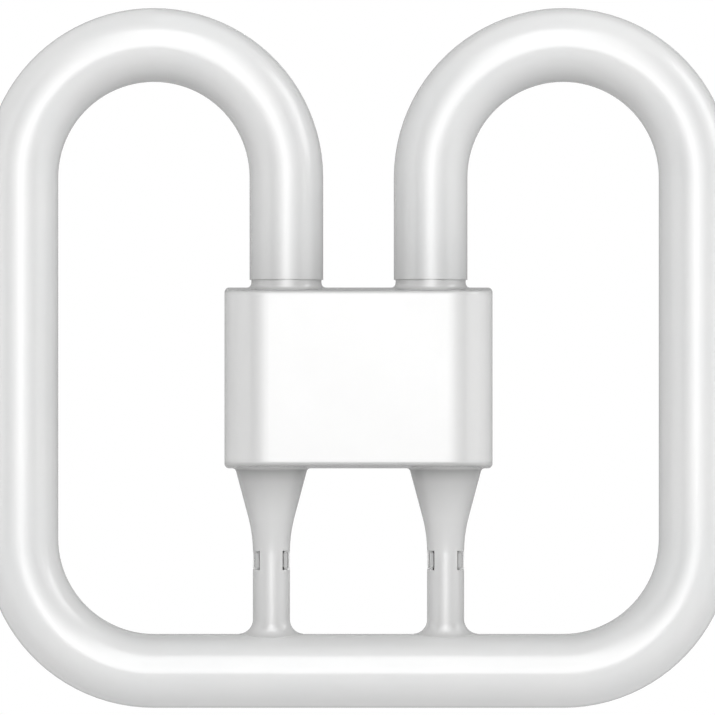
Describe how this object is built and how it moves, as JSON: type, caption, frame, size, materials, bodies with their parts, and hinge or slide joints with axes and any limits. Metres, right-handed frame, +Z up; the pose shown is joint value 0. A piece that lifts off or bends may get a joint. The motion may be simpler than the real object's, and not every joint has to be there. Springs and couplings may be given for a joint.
{
  "type": "square compact fluorescent lamp",
  "caption": "Flat square compact fluorescent lamp: a white glass tube bent into loops around a moulded white cap with trumpet struts and a recessed plug-in pin base at the back.",
  "frame": {"origin": "middle of the base's seating face, on the axis of the plug-in recess", "axes": "+Y out of the back of the base, the way it leaves its holder's plug; +Z up, from the struts to the tube's two round bends; +X to the right seen from the front; the front faces -Y"},
  "size_m": [0.1412, 0.0275, 0.132],
  "materials": {
    "coated_glass": "gloss",
    "cap_plastic": "gloss",
    "cement": "matte",
    "pin_brass": "satin",
    "lead_wire": "satin",
    "starter_glass": "gloss",
    "capacitor_shell": "gloss"
  },
  "bodies": {
    "root": {"discharge_tube": "coated_glass", "front_cover": "cap_plastic", "rear_cover": "cap_plastic", "glow_starter": "starter_glass", "starter_capacitor": "capacitor_shell", "left_tube_cement": "cement", "left_foot_cement": "cement", "left_contact_pin": "pin_brass", "left_pin_lead": "lead_wire", "left_starter_lead": "lead_wire", "right_tube_cement": "cement", "right_foot_cement": "cement", "right_contact_pin": "pin_brass", "right_pin_lead": "lead_wire", "right_starter_lead": "lead_wire"}
  },
  "joints": []
}
